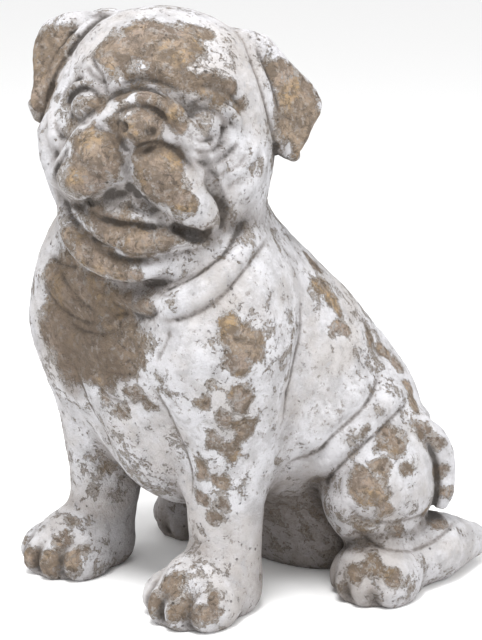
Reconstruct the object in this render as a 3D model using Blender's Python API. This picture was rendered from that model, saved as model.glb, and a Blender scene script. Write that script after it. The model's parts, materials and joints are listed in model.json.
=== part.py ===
"""Seated pug garden statue, cast in one piece of stone.

The figure is modelled as a sculptor would: masses of clay are set in place and blended, then skin folds
are raised and creases cut along curves drawn on the surface. Lengths in the tables are millimetres on a
figure 385 mm tall. The dog faces -Y, its left side is +X, and it stands on Z = 0.
"""
import math

import bmesh
import bpy
import numpy as np
from mathutils import Matrix

# Driving dimensions, in metres.
STATUE_HEIGHT = 0.385
BLOCK_GRAIN = 0.0030            # grain of the blocked-out figure
FACETS = 9400                   # triangles in the finished solid
MM = STATUE_HEIGHT / 385        # the tables are drawn 385 high

# The middle of the figure's footprint, in the tables' millimetres.
FOOTPRINT_MIDDLE = (5.3, -14.3)

STONE_COLOUR = (0.56, 0.52, 0.47, 1.0)


def smooth_curve(points, steps):
    """Catmull-Rom curve through the points, with that many steps to each span."""
    pts = np.asarray(points, float)
    ends = np.vstack([2 * pts[0] - pts[1], pts, 2 * pts[-1] - pts[-2]])
    t = np.linspace(0, 1, steps, endpoint=False)[:, None]
    out = []
    for i in range(len(pts) - 1):
        a, b, c, d = ends[i:i + 4]
        out.append(0.5 * (2 * b + (c - a) * t + (2 * a - 5 * b + 4 * c - d) * t ** 2
                          + (3 * b - a - 3 * c + d) * t ** 3))
    return np.vstack(out + [pts[-1:]])


def along(points, path):
    """Distance from each point to the path, and how far along the path, from 0 to 1, it is nearest."""
    best = np.full(len(points), 1e9)
    where = np.zeros(len(points))
    spans = len(path) - 1
    for i in range(spans):
        edge = path[i + 1] - path[i]
        share = np.clip((points - path[i]) @ edge / max(edge @ edge, 1e-12), 0, 1)
        gap = ((points - path[i] - share[:, None] * edge) ** 2).sum(1)
        nearer = gap < best
        best[nearer] = gap[nearer]
        where[nearer] = (i + share[nearer]) / spans
    return np.sqrt(best), where


class Ball:
    """An ellipsoid. Its axes are the columns of turn."""

    def __init__(self, centre, radii, blend, turn=None):
        self.centre, self.radii, self.blend = np.array(centre, float), np.array(radii, float), blend
        self.turn = np.eye(3) if turn is None else np.asarray(turn, float)
        self.low = self.centre - self.radii.max()
        self.high = self.centre + self.radii.max()

    def distance(self, points):
        local = (points - self.centre) @ self.turn
        near = np.sqrt(((local / self.radii) ** 2).sum(1))
        slope = np.sqrt(((local / self.radii ** 2) ** 2).sum(1))
        return near * (near - 1) / np.maximum(slope, 1e-9)

    def meshes(self):
        mesh = bmesh.new()
        bmesh.ops.create_icosphere(mesh, subdivisions=3, radius=1.0)
        place = Matrix.Translation(self.centre) @ Matrix(self.turn.tolist()).to_4x4()
        bmesh.ops.transform(mesh, matrix=place @ Matrix.Diagonal((*self.radii, 1.0)), verts=mesh.verts)
        return [mesh]


class Limb:
    """A round tube of changing radius along a smooth curve."""

    def __init__(self, points, radii, blend, steps=4):
        self.path = smooth_curve(points, steps)
        keys = np.linspace(0, 1, len(radii))
        self.radius = np.interp(np.linspace(0, 1, len(self.path)), keys, radii)
        self.blend = blend
        self.low = self.path.min(0) - max(radii)
        self.high = self.path.max(0) + max(radii)

    def distance(self, points):
        gap, where = along(points, self.path)
        return gap - np.interp(where, np.linspace(0, 1, len(self.radius)), self.radius)

    def meshes(self):
        made = []
        for centre, radius in zip(self.path, self.radius):
            made += Ball(centre, (radius,) * 3, 0).meshes()
        return made


class Sheet:
    """A flat flap with a rounded edge. The outline is a closed curve that lies near one plane."""

    def __init__(self, outline, thickness, blend, steps=3):
        ring = smooth_curve(np.vstack([outline, outline[:1]]), steps)[:-1]
        self.centre = ring.mean(0)
        self.axes = np.linalg.svd(ring - self.centre)[2]
        self.ring = (ring - self.centre) @ self.axes[:2].T
        self.round, self.blend = thickness / 2, blend
        self.low = ring.min(0) - thickness
        self.high = ring.max(0) + thickness

    def distance(self, points):
        local = (points - self.centre) @ self.axes.T
        across, up = local[:, 0], local[:, 1]
        nearest = np.full(len(points), 1e9)
        inside = np.zeros(len(points), bool)
        for a, b in zip(self.ring, np.roll(self.ring, -1, 0)):
            edge = b - a
            share = np.clip((local[:, :2] - a) @ edge / (edge @ edge), 0, 1)
            nearest = np.minimum(nearest, ((local[:, :2] - a - share[:, None] * edge) ** 2).sum(1))
            if a[1] != b[1]:
                crossing = ((a[1] > up) != (b[1] > up)) & (across < a[0] + (up - a[1]) * edge[0] / edge[1])
                inside ^= crossing
        rim = np.where(inside, -1, 1) * np.sqrt(nearest) + self.round
        return np.hypot(np.maximum(rim, 0), local[:, 2]) - self.round

    def meshes(self):
        mesh = bmesh.new()
        rings = []
        for side in (-0.7, 0.7):
            level = self.centre + self.ring @ self.axes[:2] + side * self.round * self.axes[2]
            rings.append([mesh.verts.new(point) for point in level])
        mesh.faces.new(rings[0][::-1])
        mesh.faces.new(rings[1])
        for i in range(len(self.ring)):
            mesh.faces.new((rings[0][i - 1], rings[0][i], rings[1][i], rings[1][i - 1]))
        bmesh.ops.recalc_face_normals(mesh, faces=mesh.faces)
        return [mesh]


class Mark:
    """A tool mark along a curve: a positive depth cuts a groove, a negative one raises a ridge."""

    def __init__(self, points, width, depth, steps=3):
        self.path = smooth_curve(points, steps)
        self.width, self.depth = width, depth
        self.low = self.path.min(0) - 2.2 * width
        self.high = self.path.max(0) + 2.2 * width

    def lift(self, points):
        gap, where = along(points, self.path)
        fade = np.clip(np.minimum(where, 1 - where) * 3.5, 0, 1)
        return self.depth * fade * fade * (3 - 2 * fade) * np.exp(-(gap / self.width) ** 2)


def soft_union(a, b, blend):
    if blend <= 0:
        return np.minimum(a, b)
    share = np.clip(0.5 + 0.5 * (b - a) / blend, 0, 1)
    return a * share + b * (1 - share) - blend * share * (1 - share)


class Clay:
    """The figure: masses added and hollows cut in turn, then the tool marks."""

    def __init__(self):
        self.steps, self.marks = [], []

    def add(self, *forms):
        self.steps += [(form, 1) for form in forms]

    def cut(self, *forms):
        self.steps += [(form, -1) for form in forms]

    def mark(self, points, width, depth):
        """A tool mark along a curve, drawn onto the surface: a groove, or a ridge if the depth is below 0."""
        self.marks.append(Mark(self.settle(np.array(points, float), 6), width, depth))

    def depth(self, points):
        """Signed distance from the figure's surface, below zero inside."""
        value = np.full(len(points), 60.0)
        for form, sign in self.steps:
            near = self.near(points, form, form.blend + 12)
            value[near] = sign * soft_union(sign * value[near], form.distance(points[near]), form.blend)
        for mark in self.marks:
            near = self.near(points, mark, 0)
            value[near] += mark.lift(points[near])
        return value

    @staticmethod
    def near(points, form, margin):
        inside = (points > form.low - margin) & (points < form.high + margin)
        return np.flatnonzero(inside.all(1))

    def settle(self, points, rounds, step=0.4):
        """Moves points along the slope of the depth until they lie on the surface."""
        points = points.copy()
        offsets = np.array([(1, -1, -1), (-1, -1, 1), (-1, 1, -1), (1, 1, 1)], float)
        for _ in range(rounds):
            values = [self.depth(points + step * o) for o in offsets]
            slope = sum(v[:, None] * o for v, o in zip(values, offsets)) / (4 * step)
            steep = np.maximum((slope ** 2).sum(1), 0.25)
            move = np.clip(sum(values) / 4, -6, 6)[:, None] * slope / steep[:, None]
            points -= 0.9 * move
        return points


# The head has axes of its own: side to the dog's left, forward, and up.
HEAD_CENTRE = np.array((-14.0, -66.0, 306.0))
HEAD_YAW, HEAD_ROLL, HEAD_PITCH = (math.radians(a) for a in (37, 8, 2))


def head_axes():
    forward = np.array((math.sin(HEAD_YAW), -math.cos(HEAD_YAW), 0.0))
    side = np.array((math.cos(HEAD_YAW), math.sin(HEAD_YAW), 0.0))
    up = np.array((0.0, 0.0, 1.0))
    forward, up = (forward * math.cos(HEAD_PITCH) + up * math.sin(HEAD_PITCH),
                   up * math.cos(HEAD_PITCH) - forward * math.sin(HEAD_PITCH))
    side, up = (side * math.cos(HEAD_ROLL) - up * math.sin(HEAD_ROLL),
                up * math.cos(HEAD_ROLL) + side * math.sin(HEAD_ROLL))
    return np.column_stack([side, forward, up])


HEAD_AXES = head_axes()
FORELEG_MIDDLE, HIND_MIDDLE = -18.0, 15.0   # the hips sit a little to the left of the forelegs


def on_head(*points):
    placed = HEAD_CENTRE + np.array(points, float) @ HEAD_AXES.T
    return placed if len(points) > 1 else placed[0]


def turned(axis, degrees, frame=None):
    """The frame's axes turned about one of them."""
    frame = np.eye(3) if frame is None else frame
    return frame @ np.array(Matrix.Rotation(math.radians(degrees), 3, axis))


def trunk(clay):
    clay.add(
        Ball((14, 68, 72), (67, 54, 75), 0),
        Ball((6, 42, 32), (66, 44, 48), 20),
        Ball((57, 46, 104), (38, 36, 38), 20),
        Ball((8, 35, 112), (68, 63, 71), 36),
        Ball((1, -10, 157), (79, 72, 70), 40),
        Ball((-20, -61, 155), (73, 58, 74), 30),
        Limb([(-15, -36, 205), (-22, -54, 238), (-17, -61, 276)], (62, 67, 58), 30),
        Ball((-13, -42, 106), (48, 56, 54), 20),
        Ball((20, -10, 106), (50, 56, 44), 26),
        Ball((-52, -101, 203), (22, 14, 13), 8),
        Ball((6, -104, 206), (22, 12, 9), 7),
    )


def paw(clay, middle, tip, width):
    """Four toes side by side, the outer two set back, on a sole that reaches below the ground."""
    clay.add(Ball((middle, tip + 36, 0), (0.4 * width, 30, 15), 3))
    for share, back in ((-0.375, 9), (-0.13, 0), (0.13, 0), (0.375, 9)):
        toe = (middle + share * width, tip + 20 + back, 12)
        clay.add(Ball(toe, (0.17 * width, 20, 15), 5))


def front_leg(clay, side):
    ankle = FORELEG_MIDDLE + 58.5 * side
    foot = FORELEG_MIDDLE + 61.5 * side
    clay.add(
        Ball((ankle - 2 * side, -67, 186), (42, 48, 68), 24),
        Limb([(ankle, -70, 170), (ankle, -65, 112), (ankle, -64, 66), (foot, -66, 28)], (42, 32, 25, 22), 14),
        Ball((foot, -84, 20), (26, 34, 22), 10),
        Ball((foot, -72, 10), (25, 26, 18), 10),
    )
    paw(clay, foot, -127, 60)


def hind_leg(clay, side):
    foot = HIND_MIDDLE + 86 * side
    knee = HIND_MIDDLE + 72 * side
    clay.add(
        Ball((knee + side, 30, 67), (32, 44, 40), 10),
        Ball((knee - 6 * side, 36, 92), (28, 38, 34), 16),
        Limb([(foot, 22, 18), (foot + 2 * side, 70, 20), (foot + 4 * side, 106, 15)], (22, 24, 13), 6),
        Ball((foot, 16, 20), (25, 30, 20), 8),
    )
    paw(clay, foot, -15, 54)


def head_ball(centre, radii, blend, frame=None):
    return Ball(on_head(centre), radii, blend, HEAD_AXES if frame is None else frame)


def skull(clay):
    clay.add(
        head_ball((0, -2, 12), (69, 61, 61), 12),
        head_ball((0, 14, 30), (50, 42, 38), 20),
        head_ball((3, 27, -57), (50, 41, 34), 12),
    )
    for s in (1, -1):
        clay.add(
            head_ball((38 * s, 10, -18), (34, 42, 44), 20),
            head_ball((24 * s, 42, 34), (20, 16, 12), 12),
        )


def muzzle(clay):
    """Cheeks and flews, a fold that arches over the nose, and the nose."""
    fold = on_head((-55, 44, -38), (-50, 53, -27), (-43, 60, -15), (-35, 64, -4), (-26, 66, 6), (-15, 67, 16),
                   (-3, 68, 22), (9, 68, 22), (19, 67, 17), (27, 65, 8), (34, 63, -2), (40, 58, -12), (44, 52, -22))
    clay.add(
        head_ball((0, 44, -14), (48, 24, 36), 8),
        head_ball((-1, 53, 6), (34, 19, 20), 8),
        head_ball((30, 52, -16), (16, 15, 22), 8),
        head_ball((-32, 52, -12), (14, 15, 16), 8),
        Limb(fold, (2.5, 3, 3.5, 4, 4, 4.5, 5, 5, 5, 5, 5, 4.5, 3), 7),
        head_ball((-22, 57, -15), (23, 22, 23), 4, turned("Y", -22, HEAD_AXES)),
        head_ball((-35, 54, -33), (15, 20, 12), 12),
        head_ball((14, 57, -21), (29, 22, 18), 4, turned("Y", 34, HEAD_AXES)),
        head_ball((34, 53, -36), (18, 19, 13), 14, turned("Y", 30, HEAD_AXES)),
        head_ball((-2, 64, 6), (15.5, 16, 13), 4),
        head_ball((-3, 57, -10), (9, 20, 12), 5),
    )
    for s in (1, -1):
        clay.cut(head_ball((-2 + 8 * s, 83, 7), (3.8, 7, 3.4), 1.5))
        crease = on_head((39 * s, 66, -8), (45 * s, 62, -18), (50 * s, 58, -28), (53 * s, 54, -38),
                         (53 * s, 52, -47))
        deep = 1 if s > 0 else 0.5
        clay.cut(Limb(crease, (0.5, 3 * deep, 5 * deep, 4.5 * deep, 1.5 * deep), 4))


def mouth(clay):
    """Parted lips: a gap under the nose, the line of the mouth, the lower lip and the chin."""
    line = on_head((-50, 50, -51), (-35, 61, -49), (-21, 68, -50), (-7, 71, -54), (4, 71, -55), (15, 70, -51),
                   (27, 67, -51), (39, 62, -54), (50, 57, -55))
    lip = on_head((-38, 50, -53), (-24, 57, -57), (-10, 61, -62), (3, 62, -64), (16, 62, -61), (28, 60, -58),
                  (40, 57, -58), (50, 50, -57))
    chin = on_head((-48, 40, -54), (-39, 48, -66), (-26, 53, -77), (-8, 56, -83), (10, 57, -82), (29, 55, -77),
                   (45, 48, -70), (54, 40, -60))
    clay.add(Limb(chin, (5, 8, 9, 9, 9, 8.5, 7, 4), 4))
    clay.cut(
        head_ball((-26, 84, -46), (21, 26, 6), 2, turned("Y", -24, HEAD_AXES)),
        head_ball((12, 86, -54), (26, 26, 5), 2, turned("Y", 30, HEAD_AXES)),
        head_ball((-8, 82, -37), (10, 36, 9), 3),
    )
    clay.add(
        head_ball((-4, 53, -49.5), (29, 17, 7.5), 2),
        Limb(lip, (3, 7.5, 9, 9.5, 9, 8, 5, 2), 2),
    )
    clay.cut(Limb(line, (1, 3, 2.5, 2.5, 2.5, 2.5, 3, 4.5, 1), 1.5))


def eyes(clay):
    for s in (1, -1):
        clay.cut(head_ball((38 * s, 62, 9), (18, 15, 16), 5))
        clay.add(head_ball((34 * s - 1.5, 47.5, 9), (12.5, 13, 12.5), 0.5))
        lid = on_head((54 * s, 37, 3), (51 * s, 45, 17), (42 * s, 51, 24), (31 * s, 53, 23), (23 * s, 55, 12))
        clay.add(Limb(lid, (2.5, 3.2, 3.2, 3.2, 2.5), 1.2))
        under = on_head((54 * s, 38, 1), (48 * s, 46, -7), (38 * s, 50, -9), (28 * s, 53, -4))
        clay.add(Limb(under, (2.5, 3.2, 3.2, 2.5), 1.2))
        bag = on_head((62 * s, 36, 0), (56 * s, 44, -12), (46 * s, 50, -17))
        clay.add(Limb(bag, (3, 5, 3), 4))
        cheek = on_head((66 * s, 28, -12), (61 * s, 36, -24), (56 * s, 40, -34))
        clay.add(Limb(cheek, (4, 6, 4), 10))


# Furrows of the brow, on the head's own axes.
BROW_FURROWS = (
    (((-46, 48, 46), (-39, 54, 39), (-32, 59, 30), (-27, 60, 20)), 2.6, 4.5),
    (((-33, 46, 52), (-25, 55, 45), (-18, 60, 37), (-14, 62, 28)), 4, 2.5),
    (((10, 52, 56), (14, 57, 48), (18, 60, 40), (22, 61, 29)), 3.5, 3),
    (((-18, 60, 30), (-10, 61, 33), (0, 61, 35), (11, 61, 33), (20, 60, 30)), 3, 3.5),
    (((20, 58, 34), (30, 55, 35), (41, 49, 34), (51, 42, 27), (58, 35, 18)), 3, 3),
    (((20, 58, 42), (31, 54, 43), (43, 47, 41), (54, 38, 33)), 5, -3),
    (((33, 67, -3), (43, 64, -7), (51, 49, -2), (56, 43, 6)), 2.5, 2),
    (((39, 63, -12), (48, 59, -16), (57, 47, -10), (61, 40, -1)), 2.5, 2),
)


def brow(clay):
    for points, width, depth in BROW_FURROWS:
        clay.mark(on_head(*points), width, depth)


# Each ear flap's outline on the head's axes: along the fold, down the outer edge to the tip, up the front.
LEFT_EAR = ((40, -1, 64), (54, -9, 64), (70, -15, 51), (88, -20, 39), (96, -20, 25), (92, -10, 10), (85, 0, -5),
            (76, 6, 0), (66, 9, 18), (56, 9, 42), (44, 5, 59))
RIGHT_EAR = ((-44, 0, 64), (-60, -5, 62), (-74, -5, 58), (-85, -5, 50), (-89, 0, 34), (-84, 5, 15),
             (-82, 8, 2), (-75, 11, -4), (-72, 14, 12), (-66, 14, 34), (-56, 9, 52))


def ears(clay):
    """Folded ears: a root on the skull, a flap hanging from the fold, and a rolled front rim."""
    for side, outline in ((1, LEFT_EAR), (-1, RIGHT_EAR)):
        clay.add(head_ball((45 * side, -10, 51), (17, 16, 16), 8))
        clay.add(Sheet(on_head(*outline), 12, 4))
        clay.add(Limb(on_head(*outline[6:], outline[0]), (4, 5, 5, 5, 4, 3), 1.5))


def tail(clay):
    """A short tail that comes round from the rump and lies curled down the left thigh."""
    clay.add(Limb([(30, 106, 84), (56, 99, 94), (80, 77, 102), (98, 58, 105), (107, 61, 99), (111, 66, 88),
                   (112, 68, 74), (113, 67, 62), (112, 66, 54)], (10, 10, 9.5, 9, 9, 8.5, 8, 7, 5), 2.5))


# Creases and raised folds: points along each, its width, and its depth, below 0 for a raised fold.
NECK_FOLDS = (
    (((-62, -111, 233), (-35, -119, 222), (-8, -118, 216), (22, -113, 217), (46, -107, 222), (60, -87, 237),
      (57, -68, 251), (50, -42, 264)), 5, 8),
    (((53, -48, 254), (63, -75, 240), (64, -92, 226), (48, -109, 212), (28, -114, 206)), 9, -5),
    (((54, -38, 243), (68, -65, 234), (71, -82, 224), (66, -99, 210), (50, -112, 200), (34, -115, 197)), 3.5, 6),
    (((-72, -100, 216), (-60, -114, 217), (-36, -118, 219)), 4, 4),
    (((-74, -104, 204), (-66, -112, 195), (-52, -116, 186), (-36, -116, 183), (-19, -117, 187)), 4, 5),
    (((-10, -116, 202), (2, -114, 196), (24, -115, 196), (38, -114, 206)), 3.5, 5),
)
CHEST_FOLDS = (
    (((-68, -110, 166), (-46, -117, 160), (-20, -118, 155), (6, -116, 156), (22, -114, 158)), 6, 4),
    (((-31, -117, 152), (-22, -117, 142), (-4, -115, 136), (14, -112, 140), (22, -112, 148)), 6, 4),
    (((25, -114, 156), (29, -109, 136), (32, -98, 112), (35, -94, 92), (37, -88, 74)), 6, 7),
    (((-62, -114, 168), (-48, -116, 148), (-40, -112, 126), (-34, -104, 104), (-32, -88, 84)), 6, 6),
    (((44, -113, 196), (40, -114, 182), (30, -115, 168)), 7, 3),
)
FLANK_FOLDS = (
    (((70, -26, 204), (75, -30, 186), (79, -37, 168), (77, -42, 146), (73, -48, 124)), 6, 6),
    (((66, -38, 100), (74, -25, 107), (80, -15, 114), (85, -5, 123), (87, 6, 130), (87, 17, 138), (84, 30, 147)),
     8, -6),
    (((62, -28, 80), (70, -18, 86), (78, -9, 94), (87, -2, 106), (93, 9, 116), (95, 24, 125), (93, 42, 132),
      (84, 58, 138)), 9, -8),
    (((64, -38, 92), (70, -27, 96), (77, -15, 102), (84, -6, 110), (88, 1, 118), (90, 12, 127), (88, 24, 136),
      (84, 35, 145)), 3, 7),
    (((70, -14, 64), (78, -11, 76), (87, -8, 89), (94, -2, 99), (101, 10, 109), (104, 22, 116), (102, 38, 122),
      (96, 54, 125)), 4, 9),
    (((60, 40, 178), (68, 42, 168), (75, 43, 158), (80, 44, 148)), 4, 4),
)
HAUNCH_FOLDS = (
    (((96, -12, 71), (105, -7, 59), (114, 8, 54), (118, 28, 50), (116, 48, 48), (110, 64, 45)), 4, 5),
    (((98, -20, 50), (107, 1, 42), (116, 15, 38), (120, 36, 33), (118, 60, 33), (108, 84, 34)), 5, 6),
)


def folds(clay):
    for points, width, depth in NECK_FOLDS + CHEST_FOLDS + FLANK_FOLDS + HAUNCH_FOLDS:
        clay.mark(points, width, depth)


def model():
    clay = Clay()
    trunk(clay)
    for side in (1, -1):
        front_leg(clay, side)
        hind_leg(clay, side)
    tail(clay)
    folds(clay)
    skull(clay)
    eyes(clay)
    muzzle(clay)
    mouth(clay)
    brow(clay)
    ears(clay)
    return clay


def coordinates(mesh):
    flat = np.empty(len(mesh.vertices) * 3, np.float32)
    mesh.vertices.foreach_get("co", flat)
    return flat.reshape(-1, 3).astype(float)


def applied(obj, kind, **settings):
    """Replaces the object's mesh with the result of one modifier."""
    modifier = obj.modifiers.new(kind.title(), kind)
    for name, value in settings.items():
        setattr(modifier, name, value)
    graph = bpy.context.evaluated_depsgraph_get()
    mesh = bpy.data.meshes.new_from_object(obj.evaluated_get(graph))
    obj.modifiers.clear()
    old, obj.data = obj.data, mesh
    bpy.data.meshes.remove(old)


def blocked_out(clay, voxel):
    """The masses as one closed mesh of even grain, in millimetres."""
    mesh = bmesh.new()
    for form, sign in clay.steps:
        for piece in form.meshes() if sign > 0 else ():
            part = bpy.data.meshes.new("mass")
            piece.to_mesh(part)
            mesh.from_mesh(part)
            bpy.data.meshes.remove(part)
            piece.free()
    data = bpy.data.meshes.new("pug_statue")
    mesh.to_mesh(data)
    mesh.free()
    obj = bpy.data.objects.new("pug_statue", data)
    bpy.context.scene.collection.objects.link(obj)
    applied(obj, "REMESH", mode="VOXEL", voxel_size=voxel, adaptivity=0)
    return obj


def carve(obj, clay, rounds):
    points = clay.settle(coordinates(obj.data), rounds)
    obj.data.vertices.foreach_set("co", points.astype(np.float32).ravel())
    obj.data.update()


def thinned(obj, facets):
    """Fewer triangles, with the small ones kept where the surface turns."""
    obj.data.calc_loop_triangles()
    applied(obj, "DECIMATE", ratio=facets / len(obj.data.loop_triangles))


def cut_flat(obj):
    """Cuts the underside off level, so that the feet stand on flat faces."""
    mesh = bmesh.new()
    bmesh.ops.create_cube(mesh, size=400, matrix=Matrix.Translation((0, 0, -200)))
    block = bpy.data.objects.new("ground", bpy.data.meshes.new("ground"))
    mesh.to_mesh(block.data)
    mesh.free()
    bpy.context.scene.collection.objects.link(block)
    applied(obj, "BOOLEAN", operation="DIFFERENCE", object=block, solver="EXACT")
    bpy.data.objects.remove(block)


def stone():
    material = bpy.data.materials.new("weathered stone")
    material.use_nodes = True
    shader = material.node_tree.nodes["Principled BSDF"]
    shader.inputs["Base Color"].default_value = STONE_COLOUR
    shader.inputs["Roughness"].default_value = 0.9
    shader.inputs["Metallic"].default_value = 0.0
    return material


def main():
    for obj in list(bpy.data.objects):
        bpy.data.objects.remove(obj)
    clay = model()
    statue = blocked_out(clay, BLOCK_GRAIN / MM)
    carve(statue, clay, 3)
    applied(statue, "REMESH", mode="VOXEL", voxel_size=BLOCK_GRAIN / MM, adaptivity=0)
    carve(statue, clay, 2)
    thinned(statue, FACETS)
    cut_flat(statue)
    middle = Matrix.Translation((-FOOTPRINT_MIDDLE[0], -FOOTPRINT_MIDDLE[1], 0))
    statue.data.transform(Matrix.Scale(MM, 4) @ middle)
    statue.data.materials.append(stone())
    return statue


if __name__ == "__main__":
    main()
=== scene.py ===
"""The looks of a seated pug garden statue: cast stone under flaking whitewash, on a pale floor.

The clay figure of the part's source is repeated here with finer creases and a finer grain, and its mesh
replaces the plain solid. Lengths in the figure's tables are millimetres; the dog faces -Y.
"""
import json
import math

import bpy
import numpy as np
from mathutils import Matrix, Vector

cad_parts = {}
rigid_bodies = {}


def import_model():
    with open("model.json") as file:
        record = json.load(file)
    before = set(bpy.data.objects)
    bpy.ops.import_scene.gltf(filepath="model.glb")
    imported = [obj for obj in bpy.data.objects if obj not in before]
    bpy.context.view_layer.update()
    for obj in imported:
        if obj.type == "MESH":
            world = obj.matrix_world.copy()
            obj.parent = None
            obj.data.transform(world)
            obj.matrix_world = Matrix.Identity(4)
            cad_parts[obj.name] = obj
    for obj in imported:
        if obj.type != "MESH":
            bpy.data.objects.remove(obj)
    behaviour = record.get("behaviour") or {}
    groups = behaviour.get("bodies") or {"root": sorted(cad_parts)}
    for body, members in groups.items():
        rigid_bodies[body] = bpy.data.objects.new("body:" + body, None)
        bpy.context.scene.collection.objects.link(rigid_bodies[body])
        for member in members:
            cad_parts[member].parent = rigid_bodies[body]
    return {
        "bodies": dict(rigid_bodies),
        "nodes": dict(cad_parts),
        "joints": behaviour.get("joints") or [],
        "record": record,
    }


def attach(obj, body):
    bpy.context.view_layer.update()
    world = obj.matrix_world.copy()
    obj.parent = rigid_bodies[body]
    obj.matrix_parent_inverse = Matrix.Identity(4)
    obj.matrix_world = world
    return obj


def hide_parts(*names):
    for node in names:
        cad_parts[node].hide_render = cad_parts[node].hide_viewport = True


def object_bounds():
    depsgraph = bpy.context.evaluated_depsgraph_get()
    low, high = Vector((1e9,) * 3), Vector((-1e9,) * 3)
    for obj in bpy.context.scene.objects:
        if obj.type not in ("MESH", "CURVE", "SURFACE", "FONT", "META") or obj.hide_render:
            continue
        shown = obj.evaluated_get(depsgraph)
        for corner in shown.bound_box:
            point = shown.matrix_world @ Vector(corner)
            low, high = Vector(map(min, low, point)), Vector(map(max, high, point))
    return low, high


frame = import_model()
cad_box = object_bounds()

MM = 0.001
FOOTPRINT_MIDDLE = np.array((5.3, -14.3, 0.0))   # of the clay figure; the row's frame has it at the origin
COARSE_GRAIN, FINE_GRAIN = 0.0025, 0.0015     # grain of the surface's first and second pass, in metres
MOST_FACETS = 196000
FAR = 60.0                     # deeper than any form's blend reaches, in millimetres
BLEND_MARGIN = 12              # how far round a form its blend is worked out

# The photograph's viewpoint, in degrees and metres, and its frame, in pixels.
AZIMUTH, ELEVATION, DISTANCE = 45.0, 14.0, 1.2
AIM = Vector((0.0447, -0.0457, 0.190))
FOCAL, SENSOR = 108.0, 36.0
PHOTO_WIDTH, PHOTO_HEIGHT = 482, 640
PIXEL = 0.61                   # of the photograph, in the figure's millimetres


def smooth_curve(points, steps):
    """Catmull-Rom curve through the points, with that many steps to each span."""
    pts = np.asarray(points, float)
    ends = np.vstack([2 * pts[0] - pts[1], pts, 2 * pts[-1] - pts[-2]])
    t = np.linspace(0, 1, steps, endpoint=False)[:, None]
    out = []
    for i in range(len(pts) - 1):
        a, b, c, d = ends[i:i + 4]
        out.append(0.5 * (2 * b + (c - a) * t + (2 * a - 5 * b + 4 * c - d) * t ** 2
                          + (3 * b - a - 3 * c + d) * t ** 3))
    return np.vstack(out + [pts[-1:]])


def along(points, path):
    """Distance from each point to the path, and how far along the path, from 0 to 1, it is nearest."""
    best = np.full(len(points), 1e9)
    where = np.zeros(len(points))
    spans = len(path) - 1
    for i in range(spans):
        edge = path[i + 1] - path[i]
        share = np.clip((points - path[i]) @ edge / max(edge @ edge, 1e-12), 0, 1)
        gap = ((points - path[i] - share[:, None] * edge) ** 2).sum(1)
        nearer = gap < best
        best[nearer] = gap[nearer]
        where[nearer] = (i + share[nearer]) / spans
    return np.sqrt(best), where


class Ball:
    """An ellipsoid. Its axes are the columns of turn."""

    def __init__(self, centre, radii, blend, turn=None):
        self.centre, self.radii, self.blend = np.array(centre, float), np.array(radii, float), blend
        self.turn = np.eye(3) if turn is None else np.asarray(turn, float)
        self.low = self.centre - self.radii.max()
        self.high = self.centre + self.radii.max()

    def distance(self, points):
        local = (points - self.centre) @ self.turn
        near = np.sqrt(((local / self.radii) ** 2).sum(1))
        slope = np.sqrt(((local / self.radii ** 2) ** 2).sum(1))
        return near * (near - 1) / np.maximum(slope, 1e-9)


class Limb:
    """A round tube of changing radius along a smooth curve."""

    def __init__(self, points, radii, blend, steps=4):
        self.path = smooth_curve(points, steps)
        keys = np.linspace(0, 1, len(radii))
        self.radius = np.interp(np.linspace(0, 1, len(self.path)), keys, radii)
        self.blend = blend
        self.low = self.path.min(0) - max(radii)
        self.high = self.path.max(0) + max(radii)

    def distance(self, points):
        gap, where = along(points, self.path)
        return gap - np.interp(where, np.linspace(0, 1, len(self.radius)), self.radius)


class Sheet:
    """A flat flap with a rounded edge. The outline is a closed curve that lies near one plane."""

    def __init__(self, outline, thickness, blend, steps=3):
        ring = smooth_curve(np.vstack([outline, outline[:1]]), steps)[:-1]
        self.centre = ring.mean(0)
        self.axes = np.linalg.svd(ring - self.centre)[2]
        self.ring = (ring - self.centre) @ self.axes[:2].T
        self.round, self.blend = thickness / 2, blend
        self.low = ring.min(0) - thickness
        self.high = ring.max(0) + thickness

    def distance(self, points):
        local = (points - self.centre) @ self.axes.T
        across, up = local[:, 0], local[:, 1]
        nearest = np.full(len(points), 1e9)
        inside = np.zeros(len(points), bool)
        for a, b in zip(self.ring, np.roll(self.ring, -1, 0)):
            edge = b - a
            share = np.clip((local[:, :2] - a) @ edge / (edge @ edge), 0, 1)
            nearest = np.minimum(nearest, ((local[:, :2] - a - share[:, None] * edge) ** 2).sum(1))
            if a[1] != b[1]:
                crossing = ((a[1] > up) != (b[1] > up)) & (across < a[0] + (up - a[1]) * edge[0] / edge[1])
                inside ^= crossing
        rim = np.where(inside, -1, 1) * np.sqrt(nearest) + self.round
        return np.hypot(np.maximum(rim, 0), local[:, 2]) - self.round


class Mark:
    """A tool mark along a curve: a positive depth cuts a groove, a negative one raises a ridge."""

    def __init__(self, points, width, depth, steps=3):
        self.path = smooth_curve(points, steps)
        self.width, self.depth = width, depth
        self.low = self.path.min(0) - 2.2 * width
        self.high = self.path.max(0) + 2.2 * width

    def lift(self, points):
        gap, where = along(points, self.path)
        fade = np.clip(np.minimum(where, 1 - where) * 3.5, 0, 1)
        sharpness = 1.2 if self.depth > 0 else 2      # a groove comes to a crease, a fold is round
        return self.depth * fade * fade * (3 - 2 * fade) * np.exp(-(gap / self.width) ** sharpness)


def soft_union(a, b, blend):
    if blend <= 0:
        return np.minimum(a, b)
    share = np.clip(0.5 + 0.5 * (b - a) / blend, 0, 1)
    return a * share + b * (1 - share) - blend * share * (1 - share)


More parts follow.
